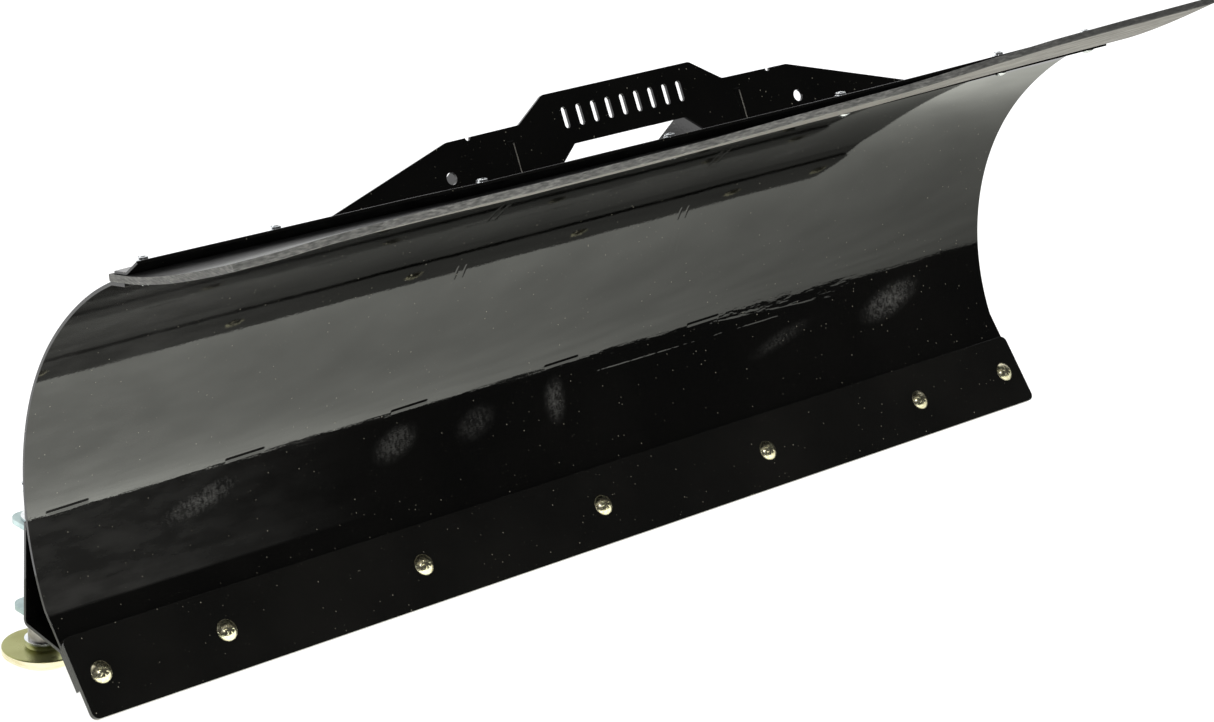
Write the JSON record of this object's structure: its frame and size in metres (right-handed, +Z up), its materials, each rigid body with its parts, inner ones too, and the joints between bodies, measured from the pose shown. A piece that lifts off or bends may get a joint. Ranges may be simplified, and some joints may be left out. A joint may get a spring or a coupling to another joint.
{
  "type": "ATV plow blade",
  "caption": "Curved steel snow plow blade for an all-terrain vehicle, with wear bar, rubber snow flap, ribbed back and round skid feet held by lynch pins.",
  "frame": {"origin": "on the floor under the middle of the part: between the flap's front edge and the ribs' back edges, and halfway along the blade", "axes": "+X along the blade to its right as seen from the front, the hollow front face looks along -Y, +Z up"},
  "size_m": [1.2338, 0.364, 0.4845],
  "materials": {
    "black_paint": "gloss black powder coat",
    "yellow_zinc": "yellow zinc plating",
    "clear_zinc": "clear zinc plating",
    "raw_steel": "dull drawn steel",
    "flap_rubber": "matt fibre-reinforced rubber with worn grey edges"
  },
  "bodies": {
    "blade": {"moldboard": "black_paint", "lower_channel": "black_paint", "wear_bar": "black_paint", "top_plate": "black_paint", "flap_retainer": "black_paint", "left_main_rib": "black_paint", "right_main_rib": "black_paint", "left_inner_lug": "black_paint", "right_inner_lug": "black_paint", "channel_welds": "black_paint", "rib_welds": "black_paint", "top_plate_welds": "black_paint", "left_upper_ear": "clear_zinc", "left_lower_ear": "clear_zinc", "right_upper_ear": "clear_zinc", "right_lower_ear": "clear_zinc", "ear_welds": "clear_zinc", "rubber_flap": "flap_rubber", "wear_bar_bolts": "yellow_zinc", "wear_bar_nuts": "clear_zinc", "flap_bolts": "clear_zinc", "flap_nuts": "clear_zinc"},
    "left_foot": {"left_skid_foot": "yellow_zinc", "left_lower_washer": "clear_zinc", "left_upper_washer": "clear_zinc", "left_lower_spacer": "raw_steel", "left_upper_spacer": "raw_steel"},
    "left_pin": {"left_lynch_pin": "clear_zinc"},
    "left_ring": {"left_lynch_ring": "clear_zinc"},
    "right_foot": {"right_skid_foot": "yellow_zinc", "right_lower_washer": "clear_zinc", "right_upper_washer": "clear_zinc", "right_lower_spacer": "raw_steel", "right_upper_spacer": "raw_steel"},
    "right_pin": {"right_lynch_pin": "clear_zinc"},
    "right_ring": {"right_lynch_ring": "clear_zinc"}
  },
  "joints": [
    {"name": "left_foot_swivel", "type": "hinge", "parent": "blade", "child": "left_foot", "pos_m": [-0.58, 0.13862, 0.1], "axis": [0, 0, 1], "range_deg": [-150, 0]},
    {"name": "left_pin_pull", "type": "slide", "parent": "left_foot", "child": "left_pin", "axis": [-1, 0, 0], "range_m": [0, 0.036]},
    {"name": "left_ring_flip", "type": "hinge", "parent": "left_pin", "child": "left_ring", "pos_m": [-0.5962, 0.13862, 0.17608], "axis": [0, -0.9563, 0.2924], "range_deg": [0, 152]},
    {"name": "right_foot_swivel", "type": "hinge", "parent": "blade", "child": "right_foot", "pos_m": [0.58, 0.13862, 0.1], "axis": [0, 0, 1], "range_deg": [0, 150]},
    {"name": "right_pin_pull", "type": "slide", "parent": "right_foot", "child": "right_pin", "axis": [1, 0, 0], "range_m": [0, 0.036]},
    {"name": "right_ring_flip", "type": "hinge", "parent": "right_pin", "child": "right_ring", "pos_m": [0.5962, 0.13862, 0.17608], "axis": [0, 0.9563, -0.2924], "range_deg": [0, 152]}
  ],
  "couplings": [
    {"joint": "left_ring_flip", "follows": "left_pin_pull", "rad_per_m": 72.722},
    {"joint": "right_ring_flip", "follows": "right_pin_pull", "rad_per_m": 72.722}
  ]
}
